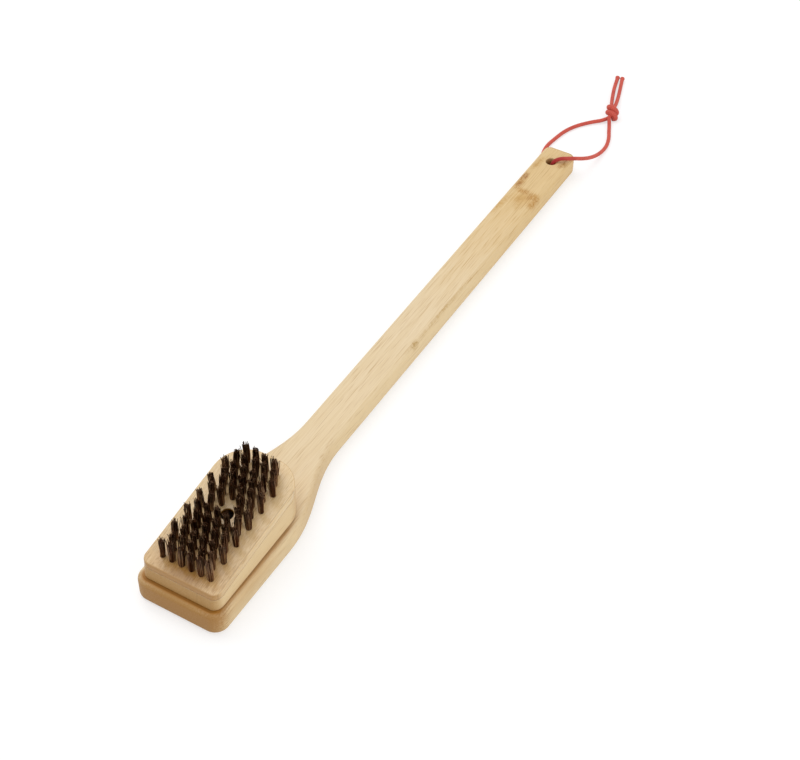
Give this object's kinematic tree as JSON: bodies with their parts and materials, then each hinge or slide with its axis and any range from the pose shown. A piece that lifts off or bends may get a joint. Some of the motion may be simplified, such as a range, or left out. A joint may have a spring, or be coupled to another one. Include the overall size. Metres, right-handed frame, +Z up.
{
  "type": "grill brush",
  "caption": "Long-handled bamboo grill brush: a paddle-shaped board, a wedge-shaped screwed-on head with dark wire tufts, and a cord loop through the handle's end.",
  "frame": {"origin": "on the surface that the brush lies on, under the middle of the board's length and width", "axes": "+X along the handle from the head to the hang hole, +Z up through the bristles, +Y across"},
  "size_m": [0.5874, 0.0574, 0.0525],
  "materials": {
    "bamboo_board": "satin",
    "bamboo_head": "satin",
    "dowel_wood": "matte",
    "bristle_wire": "dark drawn wire",
    "screw_steel": "zinc plated",
    "red_cord": "round woven cord"
  },
  "bodies": {
    "handle": {"handle_board": "bamboo_board", "dowel_front": "dowel_wood", "dowel_rear": "dowel_wood", "cord_over": "red_cord", "cord_under": "red_cord", "cord_knot": "red_cord", "cord_tail_left": "red_cord", "cord_tail_right": "red_cord"},
    "head": {"head_base": "bamboo_head", "head_face": "bamboo_head", "bristles_front": "bristle_wire", "bristles_left": "bristle_wire", "bristles_right": "bristle_wire", "bristles_rear": "bristle_wire"},
    "screw": {"head_screw": "screw_steel"}
  },
  "joints": [
    {"name": "head_lift", "type": "slide", "parent": "handle", "child": "head", "axis": [0, 0, 1], "range_m": [0, 0.008]},
    {"name": "screw_turn", "type": "hinge", "parent": "head", "child": "screw", "pos_m": [-0.1815, 0, 0.0235], "axis": [0, 0, 1], "range_deg": [0, 1800]}
  ],
  "couplings": [
    {"joint": "screw_turn", "follows": "head_lift", "rad_per_m": 3926.9}
  ]
}
